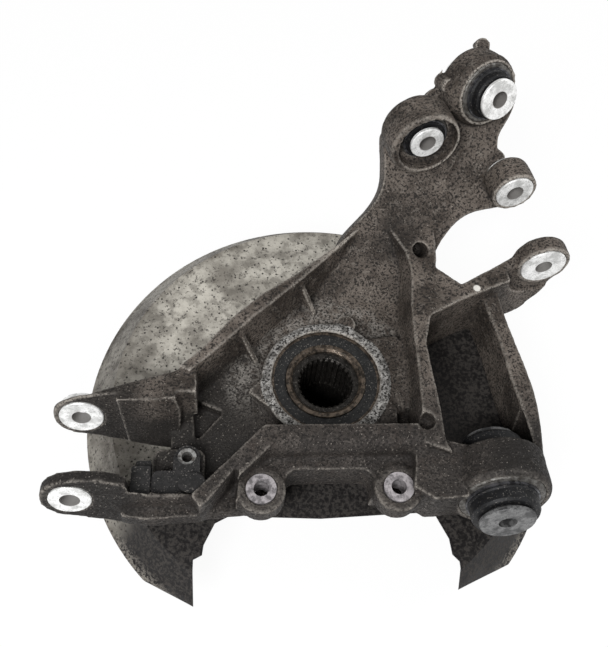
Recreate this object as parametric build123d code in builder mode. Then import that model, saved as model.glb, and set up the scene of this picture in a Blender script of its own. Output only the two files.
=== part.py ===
from build123d import *
import math
import os

# Rear wheel carrier (steering knuckle) of a multi-link axle, with its wheel bearing, hub, brake dust
# shield, ball joints, link sleeves and wheel-speed sensor.
# Millimetres. The origin is the centre of the hub's wheel face, +Z runs along the wheel axis towards
# the middle of the car, and X is parallel to the line through the two caliper bolts.

# ---------------------------------------------------------------- driving dimensions
# wheel hub
hub_flange_radius = 70.0
hub_flange_thickness = 12.0
pilot_radius = 36.25
pilot_height = 9.0
pilot_bore_radius = 27.0
wheel_bolt_count = 5
wheel_bolt_circle_radius = 60.0
wheel_bolt_hole_radius = 6.8
hub_nose_recess = 4.0
hub_shoulder_lip = 0.8
spline_radius = 18.6
spline_depth = 1.4
spline_teeth = 28
spline_length = 40.0
spline_chamfer = 1.9

# wheel bearing
bearing_end_z = 86.5
bearing_width = 45.0
bearing_outer_radius = 42.5
bearing_bore_radius = 24.5
outer_race_wall = 4.6
inner_race_wall = 4.7
inner_ring_chamfer = 1.8
ball_radius = 5.6
ball_clearance = 0.15
balls_per_row = 12
row_offset = 9.5
cage_wall = 1.3
cage_rim = 1.2
seal_depth = 3.0
seal_gap = 0.35
circlip_thickness = 2.0
circlip_bite = 1.8

# carrier casting, levels along the wheel axis
back_z = 54.0
floor_z = 79.0
web_thickness = 14.0
recess_depth = 10.0
rim_z = 114.0
lip_thickness = 2.5
lip_reach = 3.2
boss_ring_wall = 4.8
barrel_wall = 11.5
barrel_back_z = 34.0
beam_z = 77.0
outer_wall_z = 100.0

# caliper bolts
caliper_bolt_spacing = 92.0
caliper_bolt_x = -2.4
caliper_bolt_y = -85.7
caliper_face_z = 100.0
caliper_boss_radius = 16.5
caliper_boss_depth = 18.0
caliper_insert_radius = 10.2
caliper_thread_radius = 5.2
insert_stand_out = 0.8
gusset_thickness = 4.0
pad_radius = 7.0
core_hole_radius = 6.0
core_hole_depth = 12.0

# fork for the lower arm
fork_eye_far = Vector(-171.8, -29.5, 90.6)
fork_way = Vector(0.027, -0.967, 0.254)
fork_width = 66.2
fork_eye_radius = 19.2
fork_plate = 9.0
fork_block_height = 5.0
fork_root_z = 95.0
fork_far_sleeve_radius = 15.2
fork_near_sleeve_radius = 13.7
fork_hole_radius = 6.4

# ball joints: centre of the outer sleeve face and the way that it faces
upper_joint_face = Vector(129.0, 178.3, 191.9)
upper_joint_way = Vector(0.39, -0.85, 0.36)
upper_joint_lobe = 27.5
upper_collar_radius = 25.4
upper_collar_height = 3.0
upper_race_radius = 22.8
upper_ball_radius = 18.0
upper_sleeve_radius = 15.5
upper_stand_out = 14.0
upper_race_length = 24.0
upper_boot_radius = 17.2

middle_joint_face = Vector(76.8, 155.9, 168.4)
middle_joint_way = Vector(0.22, -0.97, 0.12)
middle_joint_lobe = 27.5
middle_lobe_shift = -2.0
middle_race_radius = 18.6
middle_ball_radius = 15.2
middle_sleeve_radius = 13.0
middle_stand_out = 7.0
middle_race_length = 20.0
middle_boot_radius = 15.6
middle_pocket_radius = 23.0
middle_pocket_depth = 10.0

lower_joint_face = Vector(115.0, -110.3, 96.5)
lower_joint_way = Vector(0.0, -0.98, 0.21)
lower_joint_lobe = 34.5
lower_race_radius = 29.5
lower_ball_radius = 23.5
lower_sleeve_radius = 19.0
lower_stand_out = 17.0
lower_race_length = 30.0
lower_boot_radius = 23.4

joint_hole_radius = 6.25
joint_clearance = 0.1
boot_seat_depth = 3.0
clip_width = 1.8

# plain link sleeves
side_eye_face = Vector(147.6, 131.7, 141.8)
side_eye_way = Vector(0.18, -0.98, 0.10)
side_eye_radius = 17.8
side_sleeve_radius = 14.7
side_eye_depth = 24.0
arm_eye_face = Vector(170.0, 82.7, 114.1)
arm_eye_way = Vector(0.12, -0.99, 0.06)
arm_eye_radius = 21.0
arm_sleeve_radius = 17.6
arm_eye_depth = 15.0
arm_spot_face_radius = 29.0
arm_spot_face_depth = 2.0
link_hole_radius = 6.4

# upper bracket: a slab that leans back from the tray
bracket_foot_y = 72.0
bracket_slope = 0.72
bracket_thickness = 24.0
bracket_web_depth = 7.0

# dust shield
shield_z = 50.0
shield_gauge = 1.2
shield_flat_radius = 158.0
shield_rim_radius = 181.0
shield_depth = 30.0
shield_bore_gap = 3.0
shield_screw_circle = 68.0
shield_screw_angles = (20.0, 128.0, 205.0)
shield_screw_radius = 3.0

# wheel-speed sensor
sensor_seat_z = 88.0
sensor_x = -98.0
sensor_y = -61.1
sensor_sleeve_radius = 6.3
sensor_hole_radius = 3.7
sensor_lug_height = 7.0
sensor_lug_wall = 2.6
sensor_body_height = 13.0
sensor_gap = 0.5

# sizes that follow from those above
bearing_start_z = bearing_end_z - bearing_width
bearing_middle_z = bearing_end_z - bearing_width / 2
ball_row_z = (bearing_middle_z - row_offset, bearing_middle_z + row_offset)
race_inner = bearing_outer_radius - outer_race_wall
inner_shoulder_radius = bearing_bore_radius + inner_race_wall
ball_circle_radius = (race_inner + inner_shoulder_radius) / 2
groove = ball_radius + ball_clearance
cage_width = 2 * (ball_radius + cage_rim)
circlip_z = bearing_start_z
circlip_groove_radius = bearing_outer_radius + circlip_bite
boss_face_z = bearing_end_z + lip_thickness
boss_ring_radius = bearing_outer_radius + boss_ring_wall
bearing_lip_radius = bearing_outer_radius - lip_reach
barrel_radius = bearing_outer_radius + barrel_wall
shield_bore_radius = barrel_radius + shield_bore_gap
notch_foot = -shield_rim_radius - 20
hub_shoulder_radius = inner_shoulder_radius + hub_shoulder_lip
hub_end_z = bearing_end_z - hub_nose_recess
shield_screw_points = [
    (shield_screw_circle * math.cos(math.radians(a)), shield_screw_circle * math.sin(math.radians(a)))
    for a in shield_screw_angles
]

os.makedirs("parts", exist_ok=True)
finished = {}


# ---------------------------------------------------------------- helpers
class JointFrame:
    """Axis of a link eye or joint, with planes for a face sketch and for a half section."""

    def __init__(self, face, way):
        self.face = face
        self.way = way.normalized()
        side = Vector(0, 0, 1).cross(self.way).normalized()
        self.axis = Axis(face, self.way)
        self.front = Plane(origin=face, x_dir=side, z_dir=self.way)
        self.section = Plane(origin=face, x_dir=side, z_dir=side.cross(self.way))

    def at(self, outwards):
        """Face plane moved outwards along the axis."""
        return self.front.offset(outwards)


def turned(frame, *points):
    """Ring or shaft turned about a joint axis, from half-section points (radius, outwards)."""
    with BuildPart() as ring:
        with BuildSketch(frame.section):
            with BuildLine():
                Polyline(*points, close=True)
            make_face()
        revolve(axis=frame.axis)
    return ring.part


def finish(name, part):
    """Label a finished piece and keep it for export."""
    part.label = name
    finished[name] = part


upper = JointFrame(upper_joint_face, upper_joint_way)
middle = JointFrame(middle_joint_face, middle_joint_way)
lower = JointFrame(lower_joint_face, lower_joint_way)
side_eye = JointFrame(side_eye_face, side_eye_way)
arm_eye = JointFrame(arm_eye_face, arm_eye_way)
fork_far = JointFrame(fork_eye_far, fork_way)
fork_near = JointFrame(fork_eye_far + fork_way * fork_width, fork_way)


def turned_on_wheel_axis(*points):
    """Ring turned about the wheel axis, from half-section points (radius, z)."""
    with BuildPart() as ring:
        with BuildSketch(Plane.XZ):
            with BuildLine():
                Polyline(*points, close=True)
            make_face()
        revolve(axis=Axis.Z)
    return ring.part


# ---------------------------------------------------------------- carrier casting: hub barrel
with BuildPart() as barrel:
    with BuildSketch(Plane.XZ):
        with BuildLine():
            Polyline(
                (0, barrel_back_z), (barrel_radius - 3, barrel_back_z), (barrel_radius, barrel_back_z + 3),
                (barrel_radius + 3, floor_z), (boss_ring_radius, floor_z), (boss_ring_radius, boss_face_z - 1),
                (boss_ring_radius - 1, boss_face_z), (0, boss_face_z), close=True,
            )
        make_face()
    revolve(axis=Axis.Z)
    # lobe, pointed rib and corner pad that widen the machined ring
    with BuildSketch(Plane.XY.offset(floor_z - 5)):
        with Locations((boss_ring_radius * 0.372, boss_ring_radius * 0.983)):
            Circle(7.5)
        with BuildLine():
            Polyline((-40, 8), (-57, -9.5), (-42, -22), close=True)
        make_face()
        with BuildLine():
            Polyline((22, -40), (50, -46), (50, -24), (44, -14), close=True)
        make_face()
    extrude(amount=boss_face_z - floor_z + 5)
# rounded bulge between the ring and the window beam
with BuildPart() as bulge:
    with BuildSketch(Plane.XY.offset(back_z)):
        with BuildLine():
            Spline((30, 36), (46.8, 37.5), (57, 37), (62.5, 20), (63.5, -1), (62, -18), (52.1, -26.3), (36, -30))
            Line((36, -30), (30, 36))
        make_face()
    extrude(amount=boss_face_z - 1.5 - back_z)
    fillet(bulge.faces().sort_by(Axis.Z)[-1].edges().filter_by(GeomType.BSPLINE), radius=4)

# ---------------------------------------------------------------- carrier casting: tray
wall_outer = ((-105, -2), (-88, 14), (-70, 36), (-46.5, 58), (-22.8, 74), (8, 99), (28, 118))
wall_top = ((36, 124), (17.7, 104), (-18, 69), (-35, 54), (-52, 38.5), (-80, 10.5), (-97, -5.5))
wall_foot = ((46, 120), (26, 106), (-8, 73), (-26, 53.5), (-46, 33.5), (-70, 12), (-97, -12))
with BuildPart() as tray:
    # web floor
    with BuildSketch(Plane.XY.offset(floor_z - web_thickness)):
        with BuildLine():
            Polyline(
                *wall_outer, (60, 118), (84, 96), (84, 82), (72, 17), (76, -51), (82, -64),
                (62, -88), (25, -72), (-29, -72), (-62, -90), (-89, -94), (-132, -90), (-132, -76), (-112, -66),
                (-110, -24), close=True,
            )
        make_face()
    extrude(amount=web_thickness)
# long wall from the fork to the neck: a ridge with a sloped inner face
with BuildPart() as long_wall:
    with BuildSketch(Plane.XY.offset(back_z)):
        with BuildLine():
            Polyline(*wall_outer, *wall_foot, close=True)
        make_face()
    extrude(amount=floor_z - back_z)
    with BuildSketch(Plane.XY.offset(floor_z)):
        with BuildLine():
            Polyline(*wall_outer, *wall_foot, close=True)
        make_face()
    with BuildSketch(Plane.XY.offset(rim_z)):
        with BuildLine():
            Polyline(*wall_outer, *wall_top, close=True)
        make_face()
    loft(ruled=True)
# two thin gussets that stiffen the wall
with BuildPart() as wall_gussets:
    for gusset_x, gusset_y in ((-62.0, 28.0), (-17.0, 70.0)):
        with BuildSketch(Plane(origin=(gusset_x, gusset_y, 0), x_dir=(0.7, -0.7, 0), z_dir=(-0.7, -0.7, 0))):
            with BuildLine():
                Polyline((-4, rim_z - 3), (0, rim_z - 3), (17, floor_z + 5), (17, floor_z - 4), (-4, floor_z - 4), close=True)
            make_face()
        extrude(amount=gusset_thickness / 2, both=True)

# ---------------------------------------------------------------- carrier casting: beams round the hub
# beam beside the window, from the neck to the lower joint, its inner face sloped
window_side = ((80.8, -67), (76.5, -58), (75.3, -29), (73.2, -6), (71.5, 17), (78, 42), (88, 92), (89, 122))
with BuildPart() as window_beam:
    with BuildSketch(Plane.XY.offset(back_z)):
        with BuildLine():
            Polyline((44, 122), (58, 96), (59, 77), (55, 55), (57, 35), (58, 0), (58, -60), *window_side, close=True)
        make_face()
    with BuildSketch(Plane.XY.offset(rim_z)):
        with BuildLine():
            Polyline((51, 122), (64, 96), (67, 77), (64, 55), (63, 35), (63, 0), (62, -60), *window_side, close=True)
        make_face()
    loft(ruled=True)
# rounded beam that runs past the hub and down to the fork
with BuildPart() as hub_beam:
    with BuildSketch(Plane.XY.offset(beam_z)):
        with BuildLine():
            Polyline((-46, -45.2), (64, -45.2), (64, -63), (-44, -63), (-70, -88), (-88, -101), (-94, -93), close=True)
        make_face()
    extrude(amount=rim_z - beam_z)
    fillet(hub_beam.edges().filter_by(Axis.X).group_by(Axis.Z)[-1].sort_by(Axis.Y)[0], radius=9)
# web between the hub beam and the caliper bosses, with rounded corners
with BuildPart() as caliper_web:
    with BuildSketch(Plane.XY.offset(floor_z - web_thickness)) as caliper_web_outline:
        with Locations((caliper_bolt_x, -66)):
            Rectangle(caliper_bolt_spacing + 12, 12)
        with Locations(*[(caliper_bolt_x + way * caliper_bolt_spacing / 2, -76) for way in (-1, 1)]):
            Rectangle(2 * caliper_boss_radius, 24)
        fillet(caliper_web_outline.vertices().group_by(Axis.Y)[1], radius=8)
    extrude(amount=caliper_face_z - 2 - floor_z + web_thickness)

# ---------------------------------------------------------------- carrier casting: fork
with BuildPart() as fork:
    # far plate: eye and web
    with BuildSketch(fork_far.front):
        Circle(fork_eye_radius)
        with BuildLine():
            Polyline(
                (-8, 17.4), (2, 21.5), (26, 24.5), (80, 24.5), (80, -44), (62, -40), (28, -29.5),
                (9.7, -23), (-6, -18), close=True,
            )
        make_face()
    extrude(amount=-60)
    # raised block next to the tray, with a long rounded right-hand end
    with BuildSketch(fork_far.at(fork_block_height)) as fork_block:
        with BuildLine():
            Polyline((26, 23.5), (66, 23.5), (69, 6), (65, -36), (30, -25), close=True)
        make_face()
        fillet(fork_block.vertices().sort_by(Axis.X)[-1], radius=16)
    extrude(amount=-14)
    # its back face runs at a slant in plan, so that the plate thins towards the eye
    with BuildSketch(Plane.XY.offset(back_z)):
        with BuildLine():
            Polyline((-200, -70), (-88, -70), (-88, 12), (-105, -2), (-130, -10), (-165, -21.5), (-200, -23), close=True)
        make_face()
    extrude(amount=100, mode=Mode.INTERSECT)
with BuildPart() as fork_near_plate:
    with BuildSketch(fork_near.front):
        Circle(fork_eye_radius)
        with BuildLine():
            Polyline(
                (-8, 17.4), (4, 20.5), (20, 19.5), (33, 14), (50, 0), (104, -4), (112, -30), (80, -33),
                (63, -36.5), (47, -36.5), (28, -29.5), (10, -23), (-6, -18), close=True,
            )
        make_face()
    extrude(amount=-fork_plate)
# block at the root of the near plate, its step facing the eye
with BuildPart() as fork_root:
    with BuildSketch(Plane.XY.offset(floor_z)):
        with BuildLine():
            Polyline((-147, -78), (-143, -90), (-139, -101), (-122, -103.5), (-89, -101.5), (-86, -80), (-132, -76), close=True)
        make_face()
    extrude(amount=fork_root_z - floor_z)
# pad that carries the wheel-speed sensor
with BuildPart() as sensor_pad:
    with BuildSketch(Plane.XY.offset(floor_z - web_thickness)):
        with Locations((sensor_x - 6, sensor_y - 10)):
            RectangleRounded(36, 38, 7)
    extrude(amount=sensor_seat_z - floor_z + web_thickness)

# ---------------------------------------------------------------- carrier casting: arm to the upper link
with BuildPart() as link_arm:
    with BuildSketch(Plane.XY.offset(back_z)):
        with BuildLine():
            Polyline(
                (66, 20), (78, 40), (104, 54), (150, 73), (168, 80), (190, 84), (187, 98), (149, 93),
                (104, 67), (84, 84), (66, 84), close=True,
            )
        make_face()
    extrude(amount=90)
    with BuildSketch(Plane.XZ.offset(-110)):
        with BuildLine():
            Polyline(
                (60, back_z), (160, back_z), (168, 56), (178, 78), (190, 108), (186, 122), (176, 132),
                (164, 130), (146, 114), (60, 114), close=True,
            )
        make_face()
    extrude(amount=100, mode=Mode.INTERSECT)
    # spot face round the eye
    with BuildSketch(arm_eye.at(-arm_spot_face_depth)):
        Circle(arm_spot_face_radius)
    extrude(amount=30, mode=Mode.SUBTRACT)
with BuildPart() as arm_eye_boss:
    with BuildSketch(arm_eye.front):
        Circle(arm_eye_radius)
    extrude(amount=-arm_eye_depth)
    fillet(arm_eye_boss.edges().sort_by(arm_eye.axis)[0], radius=4)

# ---------------------------------------------------------------- carrier casting: outer wall of the window
with BuildPart() as outer_wall:
    with BuildSketch(Plane.XY.offset(back_z)):
        with BuildLine():
            Spline((126, 47), (130.5, 22), (133.4, -3), (138.2, -31), (142, -68))
            Line((142, -68), (147, -68))
            Spline((147, -68), (150, -38), (150, -22), (146, 8), (138, 52))
            Polyline((138, 52), (136, 72), (122, 66), (126, 47))
        make_face()
    extrude(amount=outer_wall_z - back_z)
    fillet(outer_wall.faces().sort_by(Axis.Z)[-1].edges().filter_by(GeomType.BSPLINE), radius=2)

# ---------------------------------------------------------------- carrier casting: lower joint housing
with BuildPart() as lower_housing:
    with BuildSketch(lower.at(-lower_stand_out)):
        Circle(lower_joint_lobe)
    extrude(amount=-lower_race_length)
    fillet(lower_housing.edges().filter_by(GeomType.CIRCLE), radius=4)
    # round casting pad on top
    with BuildSketch(Plane.XY.offset(lower_joint_face.Z)):
        with Locations((lower_joint_face.X + 8.5, lower_joint_face.Y + 31)):
            Circle(pad_radius)
    extrude(amount=26)
with BuildPart() as lower_arm:
    with BuildSketch(Plane.XY.offset(floor_z - web_thickness)):
        with BuildLine():
            Polyline(
                (55, -46), (80, -56), (115, -64), (115, -90), (96, -95), (66, -97), (52, -88), (55, -72), close=True,
            )
        make_face()
    extrude(amount=108 - floor_z + web_thickness)

# ---------------------------------------------------------------- carrier casting: upper bracket
slope_angle = math.degrees(math.atan(bracket_slope))
bracket_plane = Plane(
    origin=(0, bracket_foot_y, floor_z), x_dir=(1, 0, 0),
    z_dir=(0, -math.sin(math.radians(slope_angle)), math.cos(math.radians(slope_angle))),
)
with BuildPart() as bracket:
    with BuildSketch(bracket_plane):
        with BuildLine():
            Line((-6, -2), (14.9, 45.7))
            Spline((14.9, 45.7), (28, 62), (38.1, 73), (47, 89), (48.6, 104), (48.2, 132))
            Line((48.2, 132), (64, 150))
            Spline((64, 150), (84, 158), (92, 172))
            Line((92, 172), (112, 190))
            Line((112, 190), (144, 178))
            Spline((144, 178), (151, 156), (143.2, 138.4), (138.5, 127), (143.5, 116.5), (156, 108))
            Line((156, 108), (162, 84))
            Line((162, 84), (148, 77))
            Spline((148, 77), (129.4, 73), (117.5, 69.5), (105.7, 61.5), (97.5, 51), (91.5, 40), (89, 28))
            Line((89, 28), (86, 12))
            Line((86, 12), (72, -10))
            Line((72, -10), (20, -10))
            Line((20, -10), (-6, -2))
        make_face()
    extrude(amount=-bracket_thickness)
    # sunk web between the column and the rim
    with BuildSketch(bracket_plane) as web_outline:
        with BuildLine():
            Polyline((99, 72), (98, 97), (109, 119), (124, 124), (136, 124), (137, 112), (125, 97), (106, 79), close=True)
        make_face()
        fillet(web_outline.vertices(), radius=4)
    extrude(amount=-bracket_web_depth, taper=20, mode=Mode.SUBTRACT)
# round casting pads on the bracket
with BuildPart() as bracket_pads:
    with BuildSketch(bracket_plane):
        with Locations((47.7, 64.6)):
            Circle(pad_radius + 1)
    extrude(amount=1.6)
    with BuildSketch(bracket_plane.offset(-6)):
        with Locations((122, 197), (146, 109)):
            Circle(pad_radius - 1)
        with Locations(Location((94.5, 175), 60)):
            SlotOverall(20, 10)
    extrude(amount=12)
with BuildPart() as upper_lobe:
    with BuildSketch(upper.at(-upper_stand_out - upper_collar_height)):
        Circle(upper_joint_lobe)
    extrude(amount=-upper_race_length - 4 + upper_collar_height)
    fillet(upper_lobe.edges().sort_by(upper.axis)[0], radius=7)
    fillet(upper_lobe.edges().sort_by(upper.axis)[-1], radius=3)
    with BuildSketch(upper.at(-upper_stand_out)):
        Circle(upper_collar_radius)
    extrude(amount=-upper_race_length)
with BuildPart() as middle_lobe:
    with BuildSketch(middle.at(middle_pocket_depth - middle_stand_out)):
        with Locations((middle_lobe_shift, 0)):
            Circle(middle_joint_lobe)
    extrude(amount=-middle_race_length - middle_pocket_depth)
    fillet(middle_lobe.edges().sort_by(middle.axis)[0], radius=7)
    fillet(middle_lobe.edges().sort_by(middle.axis)[-1], radius=2.5)
with BuildPart() as side_lobe:
    with BuildSketch(side_eye.front):
        Circle(side_eye_radius)
    extrude(amount=-side_eye_depth)
    fillet(side_lobe.edges().sort_by(side_eye.axis)[0], radius=5)

# ---------------------------------------------------------------- carrier casting: caliper bosses
caliper_points = [(caliper_bolt_x - caliper_bolt_spacing / 2, caliper_bolt_y),
                  (caliper_bolt_x + caliper_bolt_spacing / 2, caliper_bolt_y)]
with BuildPart() as caliper_bosses:
    with BuildSketch(Plane.XY.offset(caliper_face_z)):
        with Locations(*caliper_points):
            Circle(caliper_boss_radius)
    extrude(amount=-caliper_boss_depth)
    fillet(caliper_bosses.edges().group_by(Axis.Z)[-1], radius=2)

# ---------------------------------------------------------------- carrier casting: one solid
with BuildPart() as casting:
    for piece in (barrel, bulge, tray, long_wall, wall_gussets, window_beam, hub_beam, caliper_web, fork,
                  fork_near_plate, fork_root, sensor_pad, link_arm, arm_eye_boss, outer_wall, lower_housing, lower_arm,
                  bracket, bracket_pads, upper_lobe, middle_lobe, side_lobe, caliper_bosses):
        add(piece.part)
    # three-cornered recess behind the fork's raised block
    with BuildSketch(Plane.XY.offset(floor_z - recess_depth)):
        with BuildLine():
            Polyline((-96, -12), (-74.7, -21.4), (-94, -44), close=True)
        make_face()
    extrude(amount=20, mode=Mode.SUBTRACT)
    # sunk fan between the fork's root and the left caliper boss
    with BuildSketch(Plane.XY.offset(floor_z + 6)):
        with BuildLine():
            Polyline((-84, -99), (-62.4, -72), (-66, -99), close=True)
        make_face()
    extrude(amount=40, mode=Mode.SUBTRACT)
    # seat of the wheel-speed sensor and its plug
    with BuildSketch(Plane.XY.offset(sensor_seat_z)):
        with Locations((sensor_x - 6, sensor_y - 19)):
            RectangleRounded(34 + 2 * sensor_gap, 17 + 2 * sensor_gap, 5)
        with Locations((sensor_x, sensor_y - 2)):
            RectangleRounded(20, 26, 4)
        with Locations((sensor_x + 4, sensor_y - 20)):
            Ellipse(9 + sensor_gap, 7 + sensor_gap)
        with Locations((sensor_x - 29.4, sensor_y - 15)):
            RectangleRounded(14, 28, 2)
    extrude(amount=40, mode=Mode.SUBTRACT)
    # core holes in the window beam and in the neck
    with BuildSketch(Plane.XY.offset(rim_z - core_hole_depth)):
        with Locations((64.5, -43.6)):
            Circle(core_hole_radius)
    extrude(amount=20, mode=Mode.SUBTRACT)
    with BuildSketch(bracket_plane.offset(-core_hole_depth)):
        with Locations((76, 40.8)):
            Circle(core_hole_radius)
    extrude(amount=30, mode=Mode.SUBTRACT)
    # bearing seat with its inboard lip and circlip groove
    with BuildSketch():
        Circle(bearing_lip_radius)
    extrude(amount=200, mode=Mode.SUBTRACT)
    with BuildSketch(Plane.XY.offset(barrel_back_z - 1)):
        Circle(bearing_outer_radius)
    extrude(amount=bearing_end_z - barrel_back_z + 1, mode=Mode.SUBTRACT)
    with BuildSketch(Plane.XY.offset(circlip_z - circlip_thickness)):
        Circle(circlip_groove_radius)
    extrude(amount=circlip_thickness, mode=Mode.SUBTRACT)
    # eyes for the ball joints and the plain sleeves
    for frame, radius, start, depth in (
        (upper, upper_race_radius, 10, 90),
        (middle, middle_race_radius, 10, 90),
        (lower, lower_race_radius, 10, 90),
        (side_eye, side_sleeve_radius, 10, 90),
        (arm_eye, arm_sleeve_radius, 10, 60),
        (fork_far, fork_far_sleeve_radius, 10, 50),
        (fork_near, fork_near_sleeve_radius, 10, 40),
    ):
        with BuildSketch(frame.at(start)):
            Circle(radius)
        extrude(amount=-depth, mode=Mode.SUBTRACT)
    # wide pocket in front of the middle joint
    with BuildSketch(middle.at(middle_pocket_depth)):
        Circle(middle_pocket_radius)
    extrude(amount=-middle_pocket_depth - middle_stand_out, mode=Mode.SUBTRACT)
    # threaded caliper bosses
    with BuildSketch(Plane.XY.offset(caliper_face_z + 1)):
        with Locations(*caliper_points):
            Circle(caliper_insert_radius)
    extrude(amount=-caliper_boss_depth - 2, mode=Mode.SUBTRACT)
    # screw holes for the shield
    with BuildSketch(Plane.XY.offset(back_z - 4)):
        with Locations(*shield_screw_points):
            Circle(shield_screw_radius)
    extrude(amount=14, mode=Mode.SUBTRACT)

# ---------------------------------------------------------------- carrier casting: its sections
# The casting is one piece of metal. Flat planes part it into sections that bulge only outwards, round
# each eye, boss and beam, so that each is simple by itself.
section_top = 300.0
ring_cut_z = boss_face_z + 1
beam_cut_z = floor_z + 1
barrel_cut_z = floor_z - web_thickness - 1
beam_side_x = 56.1
boss_side_y = -66.5
hub_side_y = -44.0
neck_side_y = 88.0
sections = {}
for name, low, high, corners in (
    ("casting_fork_far", 0, section_top, ((-260, -60), (-148, -60), (-148, 20), (-260, 20))),
    ("casting_fork_near", 0, section_top, ((-260, -160), (-148, -160), (-148, -60), (-260, -60))),
    ("casting_fork_block", 0, section_top, ((-148, -42), (-88, -42), (-88, 20), (-148, 20))),
    ("casting_fork_root", 0, section_top,
     ((-148, -160), (-67, -160), (-67, boss_side_y), (-148, boss_side_y))),
    ("casting_caliper_left", 0, section_top,
     ((-67, -160), (-28, -160), (-28, boss_side_y), (-67, boss_side_y))),
    ("casting_caliper_right", 0, section_top,
     ((25, -160), (62, -160), (62, boss_side_y), (25, boss_side_y))),
    ("casting_lower_eye", 0, section_top,
     ((77, -180), (190, -180), (190, -56), (84, -56), (84, -64), (77, -64))),
    ("casting_arm_eye", 0, section_top, ((145, 60), (230, 60), (230, 112), (145, 112))),
    ("casting_link_arm", 0, section_top,
     ((84, 40), (118, 40), (118, 56), (145, 56), (145, 104), (104, 104), (91, neck_side_y), (84, neck_side_y))),
    ("casting_outer_wall", 0, section_top, ((118, -56), (190, -56), (190, 56), (118, 56))),
    ("casting_window_beam", 0, section_top,
     ((beam_side_x, boss_side_y), (62, boss_side_y), (62, -160), (77, -160), (77, -64), (84, -64),
      (84, neck_side_y), (beam_side_x, neck_side_y))),
    ("casting_hub_beam", beam_cut_z, section_top,
     ((-84, boss_side_y), (-28, boss_side_y), (-28, -80), (25, -80), (25, boss_side_y),
      (beam_side_x, boss_side_y), (beam_side_x, hub_side_y), (-84, hub_side_y))),
    ("casting_long_wall", ring_cut_z, section_top,
     ((-88, hub_side_y), (beam_side_x, hub_side_y), (beam_side_x, neck_side_y), (-88, neck_side_y))),
):
    with BuildPart() as region:
        with BuildSketch(Plane.XY.offset(low)):
            with BuildLine():
                Polyline(*corners, close=True)
            make_face()
        extrude(amount=high - low)
    sections[name] = region.part
# eight-sided section round the barrel, below the web floor
with BuildPart() as region:
    with BuildSketch():
        RegularPolygon(beam_side_x, 8, major_radius=False, rotation=180 / 8)
    extrude(amount=barrel_cut_z)
sections["casting_barrel"] = region.part
# web floor with the machined ring, up to the ring's face
with BuildPart() as region:
    with BuildSketch():
        with BuildLine():
            Polyline(
                (-148, boss_side_y), (-28, boss_side_y), (-28, -80), (25, -80), (25, boss_side_y),
                (beam_side_x, boss_side_y), (beam_side_x, neck_side_y), (-88, neck_side_y),
                (-88, -42), (-148, -42), close=True,
            )
        make_face()
    extrude(amount=ring_cut_z)
    add(sections["casting_barrel"], mode=Mode.SUBTRACT)
    add(sections["casting_hub_beam"], mode=Mode.SUBTRACT)
sections["casting_tray"] = region.part
for name, corners in (
    ("casting_upper_eye",
     ((67.4, 183.1), (114.3, 124.6), (126, 124.6), (126, 118), (200, 118), (200, 280), (67.4, 280))),
    ("casting_middle_eye", ((-20, 96), (114.3, 96), (114.3, 124.6), (67.4, 183.1), (-20, 183.1))),
    ("casting_side_eye", ((125, 60), (240, 60), (240, 118), (125, 118))),
):
    with BuildPart() as region:
        with BuildSketch(bracket_plane):
            with BuildLine():
                Polyline(*corners, close=True)
            make_face()
        extrude(amount=70, both=True)
    sections[name] = region.part

with BuildPart() as knuckle_casting:
    add(casting.part)
    for region in sections.values():
        add(region, mode=Mode.SUBTRACT)
finish("knuckle_casting", knuckle_casting.part)
for name, region in sections.items():
    with BuildPart() as section:
        add(casting.part)
        add(region, mode=Mode.INTERSECT)
    finish(name, section.part)


# ---------------------------------------------------------------- threaded inserts and sleeves
for side, (x, y) in zip(("left", "right"), caliper_points):
    with BuildPart() as insert:
        with BuildSketch(Plane.XY.offset(caliper_face_z + insert_stand_out)):
            with Locations((x, y)):
                Circle(caliper_insert_radius)
                Circle(caliper_thread_radius, mode=Mode.SUBTRACT)
        extrude(amount=-caliper_boss_depth - insert_stand_out)
    finish(f"caliper_insert_{side}", insert.part)

for name, frame, radius, depth in (
    ("side_eye_sleeve", side_eye, side_sleeve_radius, side_eye_depth),
    ("arm_eye_sleeve", arm_eye, arm_sleeve_radius, arm_eye_depth),
    ("fork_sleeve_far", fork_far, fork_far_sleeve_radius, fork_plate),
    ("fork_sleeve_near", fork_near, fork_near_sleeve_radius, fork_plate),
):
    finish(name, turned(
        frame, (link_hole_radius, 0.4), (radius - 0.6, 0.4), (radius, -0.2), (radius, -depth),
        (link_hole_radius, -depth),
    ))


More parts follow.
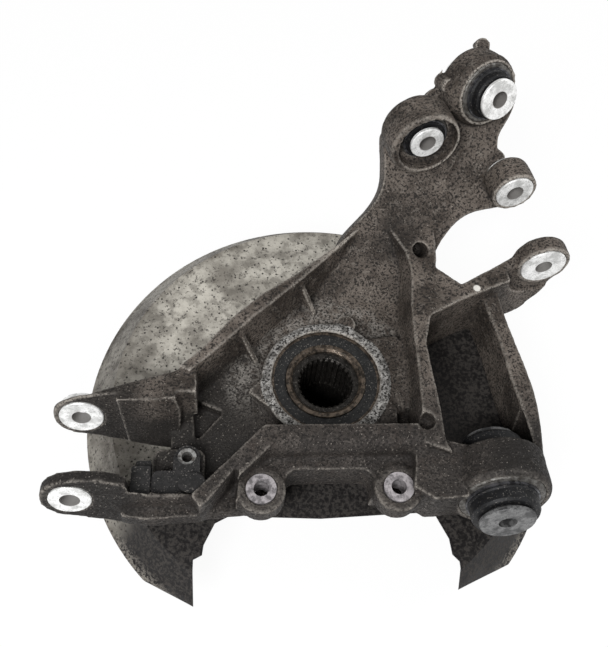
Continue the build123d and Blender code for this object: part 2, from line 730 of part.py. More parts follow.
# ---------------------------------------------------------------- ball joints
def ball_joint(name, frame, race_radius, ball, sleeve_radius, stand_out, race_length, boot_radius):
    """Pressed-in ball joint: outer race, ball sleeve that turns in it, two boots and their clip rings."""
    centre = -stand_out - race_length / 2
    neck = sleeve_radius - 2.5
    seat = ball + joint_clearance
    mouth = ball + 0.6
    seat_half = race_length / 2 - boot_seat_depth
    seat_edge = math.sqrt(seat ** 2 - seat_half ** 2)
    # race with a spherical seat and a step for the boot at each end
    with BuildPart() as race:
        with BuildSketch(frame.section):
            with BuildLine():
                top, bottom = centre + race_length / 2, centre - race_length / 2
                Polyline(
                    (seat_edge, centre + seat_half), (mouth, centre + seat_half), (mouth, top),
                    (race_radius - 1, top), (race_radius, top - 1), (race_radius, bottom), (mouth, bottom),
                    (mouth, centre - seat_half), (seat_edge, centre - seat_half),
                )
                ThreePointArc((seat_edge, centre - seat_half), (seat, centre), (seat_edge, centre + seat_half))
            make_face()
        revolve(axis=frame.axis)
    finish(f"{name}_race", race.part)
    # sleeve with its ball
    with BuildPart() as sleeve:
        with BuildSketch(frame.section):
            with BuildLine():
                reach = math.sqrt(ball ** 2 - neck ** 2)
                Polyline(
                    (neck, centre + reach), (neck, -4), (sleeve_radius, -2.5), (sleeve_radius, -0.5),
                    (sleeve_radius - 0.5, 0), (joint_hole_radius, 0), (joint_hole_radius, 2 * centre),
                    (sleeve_radius, 2 * centre), (sleeve_radius, 2 * centre + 2.5), (neck, 2 * centre + 4),
                    (neck, centre - reach),
                )
                ThreePointArc((neck, centre - reach), (ball, centre), (neck, centre + reach))
            make_face()
        revolve(axis=frame.axis)
    finish(f"{name}_sleeve", sleeve.part)
    # boots and clip rings, outer then inner
    tip = stand_out - 4.4
    foot = mouth - 0.1
    for side, way in (("outer", 1), ("inner", -1)):
        end = centre + way * race_length / 2
        finish(f"{name}_boot_{side}", turned(
            frame, (foot - 1.8, end - way * (boot_seat_depth - 0.1)), (foot, end - way * (boot_seat_depth - 0.1)),
            (foot, end + way * tip * 0.2), (boot_radius, end + way * tip * 0.3),
            (boot_radius, end + way * tip * 0.85), (boot_radius - 1, end + way * tip),
            (neck + 0.4, end + way * tip), (neck + 0.4, end + way * (tip - 1.4)),
            (boot_radius - 2, end + way * (tip - 1.4)), (foot - 1.8, end + way * tip * 0.15),
        ))
        finish(f"{name}_clip_{side}", turned(
            frame, (foot + 0.05, end + way * 0.1), (foot + 0.05, end + way * clip_width),
            (foot + 1.3, end + way * clip_width), (foot + 1.3, end + way * 0.1),
        ))


ball_joint("upper_joint", upper, upper_race_radius, upper_ball_radius, upper_sleeve_radius,
           upper_stand_out, upper_race_length, upper_boot_radius)
ball_joint("middle_joint", middle, middle_race_radius, middle_ball_radius, middle_sleeve_radius,
           middle_stand_out, middle_race_length, middle_boot_radius)
ball_joint("lower_joint", lower, lower_race_radius, lower_ball_radius, lower_sleeve_radius,
           lower_stand_out, lower_race_length, lower_boot_radius)

# ---------------------------------------------------------------- wheel bearing
with BuildPart() as bearing_outer_ring:
    with BuildSketch(Plane.XZ):
        with BuildLine():
            Polyline(
                (race_inner, bearing_start_z), (bearing_outer_radius, bearing_start_z),
                (bearing_outer_radius, bearing_end_z), (race_inner, bearing_end_z), close=True,
            )
        make_face()
        with Locations(*[(ball_circle_radius, z) for z in ball_row_z]):
            Circle(groove, mode=Mode.SUBTRACT)
    revolve(axis=Axis.Z)
finish("bearing_outer_ring", bearing_outer_ring.part)

for name, start_z, end_z, row_z in (
    ("bearing_inner_ring_outboard", bearing_start_z, bearing_middle_z, ball_row_z[0]),
    ("bearing_inner_ring_inboard", bearing_middle_z, bearing_end_z, ball_row_z[1]),
):
    with BuildPart() as inner_ring:
        with BuildSketch(Plane.XZ):
            with BuildLine():
                Polyline(
                    (bearing_bore_radius, start_z), (inner_shoulder_radius, start_z),
                    (inner_shoulder_radius, end_z), (bearing_bore_radius, end_z), close=True,
                )
            make_face()
            with Locations((ball_circle_radius, row_z)):
                Circle(groove, mode=Mode.SUBTRACT)
        revolve(axis=Axis.Z)
        if end_z == bearing_end_z:
            bore_edges = inner_ring.edges().filter_by(GeomType.CIRCLE).group_by(Axis.Z)[-1]
            chamfer(bore_edges.sort_by(SortBy.RADIUS)[0], length=inner_ring_chamfer)
    finish(name, inner_ring.part)

for name, row_z in (("bearing_balls_outboard", ball_row_z[0]), ("bearing_balls_inboard", ball_row_z[1])):
    with BuildPart() as balls:
        with Locations((0, 0, row_z)):
            with PolarLocations(ball_circle_radius, balls_per_row):
                Sphere(ball_radius)
    finish(name, balls.part)

for name, row_z in (("bearing_cage_outboard", ball_row_z[0]), ("bearing_cage_inboard", ball_row_z[1])):
    with BuildPart() as cage:
        with BuildSketch(Plane.XY.offset(row_z - cage_width / 2)):
            Circle(ball_circle_radius + cage_wall)
            Circle(ball_circle_radius - cage_wall, mode=Mode.SUBTRACT)
        extrude(amount=cage_width)
        with Locations((0, 0, row_z)):
            with PolarLocations(ball_circle_radius, balls_per_row):
                Cylinder(groove, 4 * cage_wall, rotation=(0, 90, 0), mode=Mode.SUBTRACT)
    finish(name, cage.part)

# lip seals that close the bearing's two ends
for name, face_z, into in (
    ("bearing_seal_outboard", bearing_start_z, 1), ("bearing_seal_inboard", bearing_end_z, -1),
):
    finish(name, turned_on_wheel_axis(
        (race_inner, face_z + into * 0.6), (race_inner, face_z + into * seal_depth),
        (inner_shoulder_radius + seal_gap, face_z + into * seal_depth),
        (inner_shoulder_radius + seal_gap, face_z + into * 1.4), (race_inner - 3, face_z + into * 0.6),
    ))

# circlip that holds the bearing in its seat
with BuildPart() as circlip:
    with BuildSketch(Plane.XY.offset(circlip_z - circlip_thickness)):
        Circle(circlip_groove_radius)
        Circle(bearing_outer_radius - 3, mode=Mode.SUBTRACT)
        with Locations((0, -bearing_outer_radius)):
            Rectangle(14, 12, mode=Mode.SUBTRACT)
    extrude(amount=circlip_thickness)
finish("bearing_circlip", circlip.part)

# ---------------------------------------------------------------- wheel hub
with BuildPart() as wheel_hub:
    with BuildSketch(Plane.XZ):
        with BuildLine():
            Polyline(
                (spline_radius, -pilot_height + 14), (pilot_bore_radius, -pilot_height + 8),
                (pilot_bore_radius, -pilot_height), (pilot_radius - 1, -pilot_height),
                (pilot_radius, -pilot_height + 1), (pilot_radius, 0), (hub_flange_radius, 0),
                (hub_flange_radius, hub_flange_thickness - 2),
                (hub_flange_radius - 2, hub_flange_thickness),
                (hub_shoulder_radius + 6, hub_flange_thickness), (hub_shoulder_radius, hub_flange_thickness + 6),
                (hub_shoulder_radius, bearing_start_z), (bearing_bore_radius, bearing_start_z),
                (bearing_bore_radius, hub_end_z), (spline_radius + spline_chamfer, hub_end_z),
                (spline_radius, hub_end_z - spline_chamfer), close=True,
            )
        make_face()
    revolve(axis=Axis.Z)
    # wheel bolt holes
    with BuildSketch():
        with PolarLocations(wheel_bolt_circle_radius, wheel_bolt_count, start_angle=90):
            Circle(wheel_bolt_hole_radius)
    extrude(amount=hub_flange_thickness, mode=Mode.SUBTRACT)
    # drive splines
    with BuildSketch(Plane.XY.offset(hub_end_z)):
        with PolarLocations(spline_radius, spline_teeth):
            Rectangle(2 * spline_depth, math.pi * spline_radius / spline_teeth)
    extrude(amount=-spline_length, mode=Mode.SUBTRACT)
finish("wheel_hub", wheel_hub.part)

# ---------------------------------------------------------------- brake dust shield
with BuildPart() as dust_shield:
    with BuildSketch(Plane.XZ):
        with BuildLine():
            rim_z_low = shield_z - shield_depth
            Polyline(
                (shield_bore_radius, shield_z), (shield_flat_radius, shield_z),
                (shield_rim_radius - 4, rim_z_low + 3), (shield_rim_radius, rim_z_low),
                (shield_rim_radius + 0.4, rim_z_low + shield_gauge),
                (shield_rim_radius - 3, rim_z_low + 3 + shield_gauge),
                (shield_flat_radius + 0.8, shield_z + shield_gauge),
                (shield_bore_radius, shield_z + shield_gauge), close=True,
            )
        make_face()
    revolve(axis=Axis.Z)
    # notch for the caliper
    with BuildSketch(Plane.XY.offset(-20)):
        with BuildLine():
            Polyline(
                (-68, -88), (-80, -94), (-87.5, -109), (-88.5, -116), (-94.5, -119), (-95, notch_foot),
                (92, notch_foot), (91.5, -124), (87, -119), (86, -108), (77, -88.5), (38, -90), (-5, -92),
                (-48, -90), close=True,
            )
        make_face()
    extrude(amount=shield_z + 40, mode=Mode.SUBTRACT)
    # screw holes
    with BuildSketch(Plane.XY.offset(shield_z - 1)):
        with Locations(*shield_screw_points):
            Circle(shield_screw_radius)
    extrude(amount=4, mode=Mode.SUBTRACT)
finish("dust_shield", dust_shield.part)

with BuildPart() as shield_screws:
    with BuildSketch(Plane.XY.offset(shield_z)):
        with Locations(*shield_screw_points):
            RegularPolygon(shield_screw_radius + 2.4, 6)
    extrude(amount=-4)
    with BuildSketch(Plane.XY.offset(shield_z)):
        with Locations(*shield_screw_points):
            Circle(shield_screw_radius - 0.1)
    extrude(amount=12)
finish("shield_screws", shield_screws.part)

# ---------------------------------------------------------------- wheel-speed sensor between the fork plates
with BuildPart() as speed_sensor:
    # body that lies along the fork's root, with a raised oval cover
    with BuildSketch(Plane.XY.offset(sensor_seat_z)):
        with Locations((sensor_x - 6, sensor_y - 19)):
            RectangleRounded(34, 17, 5)
        with Locations((sensor_x, sensor_y - 8)):
            Rectangle(2 * (sensor_sleeve_radius + sensor_lug_wall), 14)
    extrude(amount=sensor_body_height - 3)
    with BuildSketch(Plane.XY.offset(sensor_seat_z)):
        with Locations((sensor_x + 4, sensor_y - 20)):
            Ellipse(9, 7)
    extrude(amount=sensor_body_height)
    # lug round the fixing sleeve
    with BuildSketch(Plane.XY.offset(sensor_seat_z)):
        with Locations((sensor_x, sensor_y)):
            Circle(sensor_sleeve_radius + sensor_lug_wall)
    extrude(amount=sensor_lug_height - 2)
    with BuildSketch(Plane.XY.offset(sensor_seat_z)):
        with Locations((sensor_x, sensor_y)):
            Circle(sensor_sleeve_radius)
    extrude(amount=20, mode=Mode.SUBTRACT)
finish("speed_sensor", speed_sensor.part)
with BuildPart() as sensor_sleeve:
    with BuildSketch(Plane.XY.offset(sensor_seat_z)):
        with Locations((sensor_x, sensor_y)):
            Circle(sensor_sleeve_radius)
            Circle(sensor_hole_radius, mode=Mode.SUBTRACT)
    extrude(amount=sensor_lug_height)
finish("sensor_sleeve", sensor_sleeve.part)
with BuildPart() as sensor_plug:
    with BuildSketch(Plane.XY.offset(sensor_seat_z)):
        with Locations((sensor_x - 29.4, sensor_y - 18)):
            RectangleRounded(12.6, 20, 2)
    extrude(amount=sensor_body_height)
    with BuildSketch(Plane.XY.offset(sensor_seat_z)):
        with Locations((sensor_x - 28.4, sensor_y - 6)):
            RectangleRounded(10, 6, 1.5)
    extrude(amount=sensor_body_height - 4)
finish("sensor_plug", sensor_plug.part)

# ---------------------------------------------------------------- one STEP file for each piece
for name, part in finished.items():
    export_step(part, f"parts/{name}.step")
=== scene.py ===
"""Rear wheel carrier of a multi-link axle, taken off the car and laid on a white table, wheel side down."""
import math

import bpy
from mathutils import Matrix, Vector


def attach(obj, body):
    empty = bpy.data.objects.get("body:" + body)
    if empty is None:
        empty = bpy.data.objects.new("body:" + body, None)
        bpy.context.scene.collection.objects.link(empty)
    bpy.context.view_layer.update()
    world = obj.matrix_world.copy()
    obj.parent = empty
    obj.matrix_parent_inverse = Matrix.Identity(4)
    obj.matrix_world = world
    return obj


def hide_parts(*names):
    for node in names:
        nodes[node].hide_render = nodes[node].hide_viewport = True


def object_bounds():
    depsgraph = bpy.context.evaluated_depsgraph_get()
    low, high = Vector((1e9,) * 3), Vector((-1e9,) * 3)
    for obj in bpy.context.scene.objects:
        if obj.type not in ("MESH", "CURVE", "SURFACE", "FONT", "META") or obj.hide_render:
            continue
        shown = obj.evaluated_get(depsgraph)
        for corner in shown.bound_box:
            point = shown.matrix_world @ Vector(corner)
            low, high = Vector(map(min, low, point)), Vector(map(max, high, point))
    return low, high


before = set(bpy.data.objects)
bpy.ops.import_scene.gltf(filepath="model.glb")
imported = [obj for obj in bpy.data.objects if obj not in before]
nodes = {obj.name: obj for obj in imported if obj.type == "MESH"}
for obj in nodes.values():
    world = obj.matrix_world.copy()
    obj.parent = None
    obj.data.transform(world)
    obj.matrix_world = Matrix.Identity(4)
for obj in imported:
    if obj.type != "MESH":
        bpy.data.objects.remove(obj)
cad_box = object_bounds()

# ---------------------------------------------------------------- studio
# A white table under the part, a large soft lamp in front of it, a weaker one from the right and an even
# pale sky. The table shows white to the camera and to glossy rays and keeps a faint shadow.
image_width = 608
focal_pixels = 800
camera_place = Vector((-0.06148, -0.25333, 0.61210))
look_direction = Vector((0.0778, 0.4955, -0.8651)).normalized()
camera_roll = math.radians(7.83)

camera = bpy.data.cameras.new("camera")
camera.sensor_fit = "HORIZONTAL"
camera.lens = camera.sensor_width * focal_pixels / image_width
camera.clip_start = 0.01
camera_object = bpy.data.objects.new("camera", camera)
bpy.context.collection.objects.link(camera_object)
turn = look_direction.to_track_quat("-Z", "Y") @ Matrix.Rotation(camera_roll, 4, "Z").to_quaternion()
camera_object.matrix_world = Matrix.Translation(camera_place) @ turn.to_matrix().to_4x4()
bpy.context.scene.camera = camera_object
bpy.context.scene.view_settings.view_transform = "Standard"


class Shade:
    """A socket of a shader tree. Sums on it add Math nodes, and node() adds any other node."""

    def __init__(self, socket):
        self.socket = socket
        self.tree = socket.id_data

    def node(self, kind, settings, sockets, output=0):
        """Adds a node to the same tree: settings first, then the values or links of its sockets."""
        made = self.tree.nodes.new("ShaderNode" + kind)
        for key, value in settings.items():
            if key == "stops":
                ramp = made.color_ramp.elements
                ramp[0].position, ramp[0].color = value[0]
                ramp[1].position, ramp[1].color = value[-1]
                for place, colour in value[1:-1]:
                    ramp.new(place).color = colour
            else:
                setattr(made, key, value)
        for key, value in sockets.items():
            if isinstance(value, Shade):
                self.tree.links.new(value.socket, made.inputs[key])
            else:
                made.inputs[key].default_value = value
        return Shade(made.outputs[output])

    def sum(self, operation, first, second=0.0):
        return self.node("Math", {"operation": operation}, {0: first, 1: second})

    def __add__(self, other):
        return self.sum("ADD", self, other)

    def __sub__(self, other):
        return self.sum("SUBTRACT", self, other)

    def __rsub__(self, other):
        return self.sum("SUBTRACT", other, self)

    def __mul__(self, other):
        return self.sum("MULTIPLY", self, other)

    def __rmul__(self, other):
        return self.sum("MULTIPLY", other, self)

    def band(self, low, high, bottom=0.0, top=1.0):
        """Runs smoothly from bottom to top as this value goes from low to high."""
        ends = {"Value": self, "From Min": low, "From Max": high, "To Min": bottom, "To Max": top}
        return self.node("MapRange", {"interpolation_type": "SMOOTHSTEP"}, ends)

    def within(self, low, high, soft):
        """One between low and high, falling off over soft on both sides."""
        return self.band(low - soft, low) * self.band(high, high + soft, 1.0, 0.0)

    def blend(self, first, second):
        """Colour that goes from first to second as this mask goes from 0 to 1."""
        ends = {0: self, 6: first, 7: second}
        return self.node("Mix", {"data_type": "RGBA"}, ends, 2)


class Finish:
    """A material under construction: its principled shader, and the place on the piece in millimetres."""

    def __init__(self, name, gloss=0.5):
        self.material = bpy.data.materials.new(name)
        self.material.use_nodes = True
        tree = self.material.node_tree
        self.shader = tree.nodes["Principled BSDF"]
        self.shader.inputs["Specular IOR Level"].default_value = gloss
        self.start = Shade(self.shader.inputs["Alpha"])
        self.coordinates = self.start.node("TexCoord", {}, {}, "Object")
        scale = {0: self.coordinates, "Scale": 1000.0}
        self.place = self.start.node("VectorMath", {"operation": "SCALE"}, scale)
        parts = self.place.node("SeparateXYZ", {}, {0: self.place})
        self.x, self.y, self.z = (Shade(parts.socket.node.outputs[i]) for i in range(3))

    def noise(self, size, detail=4.0, rough=0.6, offset=0.0):
        """Cloudy noise from 0 to 1 whose blobs are about size millimetres."""
        where = self.place
        if offset:
            shift = (offset, 1.7 * offset, -offset)
            where = where.node("VectorMath", {"operation": "ADD"}, {0: where, 1: shift})
        sockets = {"Vector": where, "Scale": 1.0 / size, "Detail": detail, "Roughness": rough}
        return where.node("TexNoise", {}, sockets)

    def pits(self, size):
        """Distance from the nearest of many scattered points, size millimetres apart."""
        sockets = {"Vector": self.place, "Scale": 1.0 / size, "Randomness": 1.0}
        return self.place.node("TexVoronoi", {}, sockets)

    def radius(self, centre=(0, 0, 0), axis=(0, 0, 1)):
        """Distance in millimetres from a line through centre along axis."""
        away = self.place.node("VectorMath", {"operation": "SUBTRACT"}, {0: self.place, 1: centre})
        side = away.node("VectorMath", {"operation": "CROSS_PRODUCT"}, {0: away, 1: Vector(axis).normalized()})
        return side.node("VectorMath", {"operation": "LENGTH"}, {0: side}, 1)

    def edges(self):
        """Sharpness of the edge at each point: 0.5 on flats, more on outer edges, less in corners."""
        return self.start.node("NewGeometry", {}, {}, "Pointiness")

    def close(self, colour, roughness, metallic=0.0, height=None, depth=0.3):
        """Wires the look into the shader. Height is a bump in millimetres times depth."""
        wires = {"Base Color": colour, "Roughness": roughness, "Metallic": metallic}
        if height:
            sockets = {"Height": height, "Strength": 1.0, "Distance": depth / 1000}
            wires["Normal"] = height.node("Bump", {}, sockets)
        for key, value in wires.items():
            if isinstance(value, Shade):
                value.tree.links.new(value.socket, self.shader.inputs[key])
            else:
                self.shader.inputs[key].default_value = value
        return self.material


def paint(material, *names):
    """Gives CAD nodes this material in every slot."""
    for name in names:
        for slot in nodes[name].material_slots:
            slot.material = material


table_height = cad_box[0][2] - 0.0005
bpy.ops.object.select_all(action="DESELECT")
bpy.ops.mesh.primitive_plane_add(size=6, location=(0, 0, table_height))
table = bpy.context.object
table.name = "table"
table_white = Finish("table_white")
# painted shadow: the table is painted black under the hub's bore, where only the bore shows it, standing in
# for the shade inside the bore
clear_of_bore_shadow = table_white.radius().band(28, 34)
table_tone_bore_shadow = clear_of_bore_shadow.blend((0.01, 0.01, 0.01, 1), (0.9, 0.9, 0.9, 1))
table_white.close(table_tone_bore_shadow, 0.9)
shown = table_white.place.node("LightPath", {}, {}, "Is Camera Ray")
glossy = table_white.place.node("LightPath", {}, {}, "Is Glossy Ray")
lit = table_white.place.node("Emission", {}, {"Color": (1, 1, 1, 1), "Strength": 1.0})
output = table_white.material.node_tree.nodes["Material Output"]
white_share = (shown + glossy).sum("MINIMUM", shown + glossy, 1.0) * 0.94 * clear_of_bore_shadow
table_mix = shown.node("MixShader", {}, {0: white_share, 2: lit})
table_white.material.node_tree.links.new(table_white.shader.outputs[0], table_mix.socket.node.inputs[1])
table_white.material.node_tree.links.new(table_mix.socket, output.inputs["Surface"])
table.data.materials.append(table_white.material)

sky = bpy.data.worlds.new("sky")
bpy.context.scene.world = sky
sky.use_nodes = True
sky.node_tree.nodes["Background"].inputs["Color"].default_value = (1, 1, 1, 1)
sky.node_tree.nodes["Background"].inputs["Strength"].default_value = 0.36
for name, place, size, power in (
    ("key_lamp", (-0.55, -0.95, 1.45), 0.6, 33.0),
    ("side_lamp", (1.2, 0.3, 1.3), 0.7, 9.0),
):
    lamp = bpy.data.lights.new(name, "AREA")
    lamp.size = size
    lamp.energy = power
    lamp_object = bpy.data.objects.new(name, lamp)
    bpy.context.collection.objects.link(lamp_object)
    aim = (Vector((0, 0.03, 0.08)) - Vector(place)).to_track_quat("-Z", "Y")
    lamp_object.matrix_world = Matrix.Translation(place) @ aim.to_matrix().to_4x4()

# ---------------------------------------------------------------- carrier casting
# One aluminium sand casting with rounded edges and a rough skin, oxidised and caked with road dirt and
# brake dust. Its machined ring, spot faces and worn edges show paler metal, the edges partly as painted
# highlights, and painted shade darkens its corners.
casting_names = [name for name in nodes if name == "knuckle_casting" or name.startswith("casting_")]


def merged_copy(name, names):
    """One object with copies of CAD nodes, their loose triangles merged."""
    bpy.ops.object.select_all(action="DESELECT")
    for source in names:
        piece = nodes[source].copy()
        piece.data = nodes[source].data.copy()
        piece.parent = None
        piece.matrix_world = Matrix()
        bpy.context.collection.objects.link(piece)
        piece.select_set(True)
        bpy.context.view_layer.objects.active = piece
    if len(names) > 1:
        bpy.ops.object.join()
    piece = bpy.context.view_layer.objects.active
    piece.name = name
    bpy.ops.object.mode_set(mode="EDIT")
    bpy.ops.mesh.select_all(action="SELECT")
    bpy.ops.mesh.remove_doubles(threshold=0.00001)
    bpy.ops.object.mode_set(mode="OBJECT")
    return piece


def modify(piece, kind, **settings):
    """Adds a modifier and applies it."""
    modifier = piece.modifiers.new(kind.lower(), kind)
    for key, value in settings.items():
        setattr(modifier, key, value)
    bpy.context.view_layer.objects.active = piece
    bpy.ops.object.modifier_apply(modifier=modifier.name)


# flush metal that carries the bracket's right edge round the side eye, a shallower web, and the lug
# beside the upper lobe, as solid rounds that melt into the casting
slope = math.atan(0.72)
bracket_foot_y = 72
bracket_foot_z = 79
bracket_turn = Matrix.Rotation(slope, 4, "X")


def bracket_place(across, along, proud):
    """A point of the bracket's slanted face: across it, up along it and proud of it, in millimetres."""
    y = bracket_foot_y + along * math.cos(slope) - proud * math.sin(slope)
    z = bracket_foot_z + along * math.sin(slope) + proud * math.cos(slope)
    return Vector((across, y, z)) / 1000


rounds = []
for across, along, top, bottom, radius in (
    (126.5, 124, -0.5, -23.5, 12), (136.5, 111.5, -1, -21, 9), (88, 158, -2, -14, 8),
    (106, 84, -2.4, -9, 8), (110, 98, -2.4, -9, 13), (121, 110, -2.4, -9, 13), (129, 118, -2.4, -9, 8),
):
    bpy.ops.mesh.primitive_cylinder_add(
        vertices=48, radius=radius / 1000, depth=(top - bottom) / 1000,
        location=bracket_place(across, along, (top + bottom) / 2), rotation=bracket_turn.to_euler())
    rounds.append(bpy.context.object)
lug_low = Vector((0.093, 0.192, 0.191))
lug_high = Vector((0.0875, 0.2035, 0.187))
lug_radius = 0.0058
bpy.ops.mesh.primitive_cylinder_add(
    vertices=32, radius=lug_radius, depth=(lug_high - lug_low).length, location=(lug_low + lug_high) / 2,
    rotation=(lug_high - lug_low).to_track_quat("Z", "Y").to_euler())
rounds.append(bpy.context.object)
for piece in rounds:
    piece.data.materials.clear()
    piece.select_set(False)

carrier_casting = merged_copy("carrier_casting", casting_names)
for piece in rounds:
    piece.select_set(True)
bpy.context.view_layer.objects.active = carrier_casting
bpy.ops.object.join()
skin_voxel = 0.0013
skin_relief = 0.0007
triangle_limit = 185000
modify(carrier_casting, "REMESH", mode="VOXEL", voxel_size=skin_voxel)
modify(carrier_casting, "SMOOTH", factor=0.5, iterations=5)
sand = bpy.data.textures.new("sand_skin", "CLOUDS")
sand.noise_scale = 0.009
sand.noise_depth = 3
modify(carrier_casting, "DISPLACE", texture=sand, texture_coords="LOCAL", strength=skin_relief,
       mid_level=0.62)
triangles = sum(len(face.vertices) - 2 for face in carrier_casting.data.polygons)
modify(carrier_casting, "DECIMATE", ratio=min(1.0, triangle_limit / triangles))
bpy.ops.object.select_all(action="DESELECT")
carrier_casting.select_set(True)
bpy.ops.object.shade_smooth()

cast = Finish("cast_aluminium", 0.22)
patches = cast.noise(30, 3, 0.55)
mottle = cast.noise(6.0, 6, 0.72, 11)
grain = cast.noise(1.7, 3, 0.6, 23)
fleck = cast.noise(1.3, 2, 0.5, 57)
streak = cast.noise(16, 5, 0.7, 91)
edge = cast.edges()
from_hub = cast.radius()
low_end = (cast.y + cast.z * 0.25).band(-42, 38, 1.0, 0.0)
# general tone: brown-grey grime, darker towards the bolts' end and in cloudy patches
tone = patches.band(0.36, 0.66).blend((0.040, 0.032, 0.026, 1), (0.124, 0.104, 0.088, 1))
tone = (low_end * 0.86).blend(tone, (0.022, 0.019, 0.0175, 1))
tone = (mottle.band(0.52, 0.62) * (0.5 - 0.3 * low_end)).blend(tone, (0.150, 0.132, 0.115, 1))
tone = (streak.band(0.50, 0.66) * 0.45).blend(tone, (0.034, 0.026, 0.021, 1))
# greasy lower joint housing and far fork plate, stains on the neck
lower_housing = cast.x.band(88, 112) * cast.y.band(-44, -30, 1.0, 0.0)
lower_end = lower_housing + cast.x.band(-140, -120, 1.0, 0.0)
tone = (lower_end * 0.72).blend(tone, (0.010, 0.009, 0.0085, 1))
neck_stain = cast.radius((62, 112, 100)).band(8, 26, 1.0, 0.0) * streak.band(0.38, 0.52)
tone = (neck_stain * 0.75).blend(tone, (0.016, 0.013, 0.011, 1))
# painted shade: darker corners round the fork's root and in the sunk fan
corner_shade = cast.radius((-88, -30, 0)).band(28, 74, 1.0, 0.0) * cast.z.band(88, 98, 1.0, 0.0)
tone = (corner_shade * 0.8).blend(tone, (0.012, 0.011, 0.010, 1))
# scoured floor round the machined ring
floor_light = (from_hub.within(47, 66, 12) * cast.z.within(70, 84, 4) * cast.y.band(-30, 0)
               * mottle.band(0.40, 0.56))
tone = (floor_light * 0.5).blend(tone, (0.25, 0.235, 0.215, 1))
ring_face = from_hub.within(38, 47.6, 0.6) * cast.z.within(88.0, 91, 0.5)
ring_tone = mottle.band(0.38, 0.60).blend((0.10, 0.096, 0.09, 1), (0.36, 0.35, 0.335, 1))
tone = ring_face.blend(tone, ring_tone)
# pepper of dark grains and pale chips
tone = (grain.band(0.50, 0.58) * 0.9).blend(tone, (0.012, 0.0105, 0.0095, 1))
tone = (fleck.band(0.66, 0.73) * 0.7).blend(tone, (0.27, 0.245, 0.215, 1))
pit_mask = cast.pits(3.4).band(0.16, 0.24, 1.0, 0.0) * mottle.band(0.45, 0.55)
tone = pit_mask.blend(tone, (0.010, 0.009, 0.008, 1))
# outer edges worn pale and partly painted as highlights, inner corners packed with dirt and partly painted as
# shade
worn_and_highlit = edge.band(0.512, 0.56) * fleck.band(0.34, 0.50)
tone = (worn_and_highlit * (0.85 - 0.35 * low_end)).blend(tone, (0.34, 0.31, 0.275, 1))
packed_dirt_and_shade = edge.band(0.455, 0.492, 1.0, 0.0)
tone = (packed_dirt_and_shade * 0.8).blend(tone, (0.012, 0.010, 0.009, 1))
# dab of white paint on the link arm
dab_place = (114.9, 62.9, 114.0)
dab = cast.place.node("VectorMath", {"operation": "DISTANCE"}, {0: cast.place, 1: dab_place}, 1)
tone = dab.band(2.2, 3.2, 1.0, 0.0).blend(tone, (0.62, 0.60, 0.56, 1))
carrier_casting.data.materials.clear()
carrier_casting.data.materials.append(cast.close(
    tone, grain.band(0.3, 0.7, 0.5, 0.85), ring_face * 0.5, mottle * 1.6 + grain + fleck, 0.55))
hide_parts(*casting_names)
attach(carrier_casting, "carrier")

# ---------------------------------------------------------------- dust shield
# Pressed zinc-coated sheet with a sloped rim and two tips cut short beside the caliper's notch. Road
# spray has left it grey and spotted above; below and behind the casting it is black with brake dust and
# painted shade.
tip_cuts = (((-0.130, -0.126), (-0.097, -0.1445)), ((0.098, -0.1375), (0.135, -0.1205)))
shield = merged_copy("shield_plate", ["dust_shield"])
bpy.ops.object.select_all(action="DESELECT")
shield.select_set(True)
bpy.context.view_layer.objects.active = shield
for start, end in tip_cuts:
    outwards = Vector((end[1] - start[1], start[0] - end[0], 0)).normalized()
    bpy.ops.object.mode_set(mode="EDIT")
    bpy.ops.mesh.select_all(action="SELECT")
    bpy.ops.mesh.bisect(plane_co=(*start, 0), plane_no=outwards, use_fill=True, clear_outer=True)
    bpy.ops.object.mode_set(mode="OBJECT")
sheet = Finish("shield_sheet", 0.22)
stain = sheet.noise(34, 5, 0.62, 5)
cloud = sheet.noise(9, 4, 0.6, 77)
spots = sheet.noise(2.4, 4, 0.65, 31)
dots = sheet.pits(5.2)
reach = sheet.radius()
# outside the long wall the sheet is pale, elsewhere it is caked black with dirt and painted shade
open_side = (sheet.y - sheet.x * 0.82).band(10, 55)
tone = stain.band(0.30, 0.60).blend((0.20, 0.185, 0.16, 1), (0.50, 0.475, 0.42, 1))
tone = (cloud.band(0.46, 0.62) * 0.55).blend(tone, (0.115, 0.105, 0.09, 1))
band_brown = reach.band(152, 162) * stain.band(0.25, 0.55, 1.0, 0.45)
tone = (band_brown * 0.8).blend(tone, (0.078, 0.064, 0.050, 1))
# darker towards the fork end: brown dirt and painted shade under the fork
tone = (sheet.x.band(-150, -112, 1.0, 0.0) * 0.4).blend(tone, (0.055, 0.050, 0.043, 1))
caked_and_shaded = (spots.band(0.42, 0.66)).blend((0.010, 0.009, 0.009, 1), (0.050, 0.045, 0.041, 1))
rim_dust = reach.band(173, 180) * spots.band(0.44, 0.60)
caked_and_shaded = (rim_dust * 0.8).blend(caked_and_shaded, (0.26, 0.24, 0.21, 1))
tone = open_side.blend(caked_and_shaded, tone)
tone = (spots.band(0.56, 0.64) * 0.85).blend(tone, (0.035, 0.031, 0.028, 1))
tone = dots.band(0.12, 0.19, 1.0, 0.0).blend(tone, (0.025, 0.022, 0.02, 1))
shield.data.materials.clear()
shield.data.materials.append(
    sheet.close(tone, spots.band(0.3, 0.7, 0.4, 0.75), 0.15, spots + cloud, 0.25))
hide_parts("dust_shield")
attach(shield, "carrier")

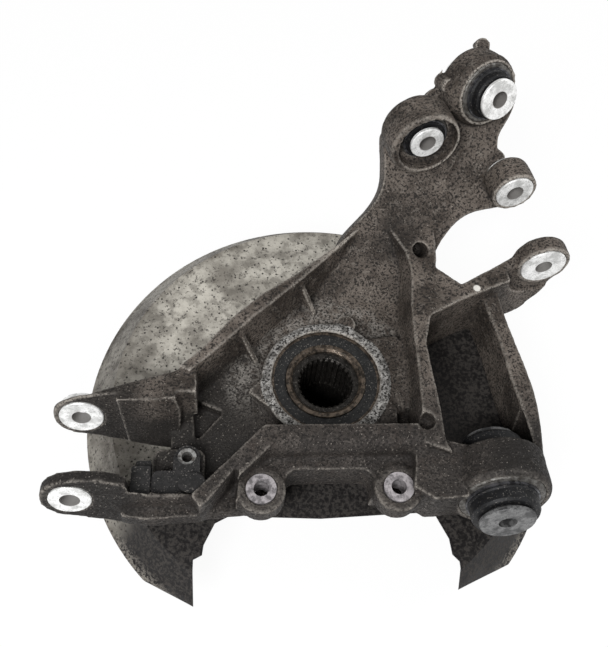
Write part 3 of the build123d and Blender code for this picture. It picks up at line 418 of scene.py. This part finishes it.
# ---------------------------------------------------------------- link sleeves
# Zinc-plated steel bushes, their end faces wiped almost white with grey scratches round the hole.
for name, face, way in (
    ("side_eye_sleeve", (147.6, 131.7, 141.8), (0.18, -0.98, 0.10)),
    ("arm_eye_sleeve", (170.0, 82.7, 114.1), (0.12, -0.99, 0.06)),
    ("fork_sleeve_far", (-171.8, -29.5, 90.6), (0.027, -0.967, 0.254)),
    ("fork_sleeve_near", (-170.0, -93.5, 107.4), (0.027, -0.967, 0.254)),
    ("upper_joint_sleeve", (129.0, 178.3, 191.9), (0.39, -0.85, 0.36)),
    ("middle_joint_sleeve", (76.8, 155.9, 168.4), (0.22, -0.97, 0.12)),
):
    steel = Finish(name + "_zinc")
    away = steel.radius(face, way)
    wipe = steel.noise(7, 4, 0.6, 3)
    scratch = steel.noise(1.2, 3, 0.6, 41)
    tone = wipe.band(0.35, 0.62).blend((0.50, 0.50, 0.49, 1), (0.86, 0.86, 0.85, 1))
    tone = (scratch.band(0.55, 0.65) * 0.6).blend(tone, (0.30, 0.30, 0.29, 1))
    tone = away.band(6.3, 6.9, 1.0, 0.0).blend(tone, (0.22, 0.21, 0.20, 1))
    paint(steel.close(tone, scratch.band(0.3, 0.7, 0.3, 0.5), 0.25, scratch, 0.08), name)

# ---------------------------------------------------------------- lower joint sleeve
# The same kind of steel bush turned through the lower ball joint, left greasy: grey with darker stains
# where oil and brake dust have dried on it.
steel = Finish("lower_sleeve_steel")
wipe = steel.noise(8, 4, 0.65, 9)
scratch = steel.noise(1.4, 3, 0.6, 15)
tone = wipe.band(0.35, 0.62).blend((0.030, 0.030, 0.031, 1), (0.17, 0.17, 0.17, 1))
tone = (scratch.band(0.55, 0.62) * 0.7).blend(tone, (0.03, 0.03, 0.03, 1))
paint(steel.close(tone, 0.4, 0.45, scratch, 0.1), "lower_joint_sleeve")

# ---------------------------------------------------------------- bearing, joints, hub and small parts
# Ground steel rings and balls in plastic cages, rubber boots and lip seals held by spring-steel clips, the
# forged splined hub, pressed-in threaded inserts and the moulded sensor, all under the same film of dirt.
# Each line gives the light and dark tone, roughness, metal share and the nodes.
joints = ("upper", "middle", "lower")
plain = {
    "zinc_steel": ((0.42, 0.42, 0.41, 1), (0.12, 0.11, 0.10, 1), 0.35, 0.7, (
        "shield_screws", "sensor_sleeve")),
    "insert_steel": ((0.46, 0.43, 0.44, 1), (0.16, 0.15, 0.155, 1), 0.35, 0.5, (
        "caliper_insert_left", "caliper_insert_right")),
    "race_steel": ((0.16, 0.155, 0.145, 1), (0.05, 0.045, 0.04, 1), 0.5, 0.5, (
        "upper_joint_race", "middle_joint_race", "lower_joint_race")),
    "boot_rubber": ((0.0065, 0.0068, 0.008, 1), (0.003, 0.003, 0.0035, 1), 0.55, 0.0, tuple(
        f"{joint}_joint_boot_{side}" for joint in joints for side in ("outer", "inner"))),
    "clip_steel": ((0.12, 0.12, 0.13, 1), (0.03, 0.03, 0.032, 1), 0.3, 0.7, tuple(
        f"{joint}_joint_clip_{side}" for joint in joints for side in ("outer", "inner"))
        + ("bearing_circlip",)),
    "bearing_steel": ((0.14, 0.11, 0.085, 1), (0.03, 0.025, 0.02, 1), 0.35, 0.7, (
        "bearing_outer_ring", "bearing_inner_ring_inboard", "bearing_inner_ring_outboard",
        "bearing_balls_inboard", "bearing_balls_outboard")),
    "cage_plastic": ((0.08, 0.07, 0.05, 1), (0.03, 0.025, 0.02, 1), 0.6, 0.0, (
        "bearing_cage_inboard", "bearing_cage_outboard")),
    "seal_rubber": ((0.012, 0.012, 0.012, 1), (0.005, 0.005, 0.005, 1), 0.5, 0.0, (
        "bearing_seal_inboard", "bearing_seal_outboard")),
    "hub_steel": ((0.030, 0.027, 0.024, 1), (0.010, 0.009, 0.008, 1), 0.45, 0.6, ("wheel_hub",)),
    "black_plastic": ((0.016, 0.015, 0.015, 1), (0.006, 0.006, 0.006, 1), 0.6, 0.0, (
        "speed_sensor", "sensor_plug")),
}
for name, (light, dark, roughness, metallic, names) in plain.items():
    finish = Finish(name, 0.3)
    dirt = finish.noise(3.5, 5, 0.68, 7)
    speck = finish.noise(1.1, 2, 0.5, 19)
    tone = dirt.band(0.38, 0.62).blend(dark, light)
    tone = (speck.band(0.62, 0.7) * 0.5).blend(tone, (0.22, 0.205, 0.185, 1))
    paint(finish.close(tone, roughness, metallic, dirt + speck, 0.15), *names)
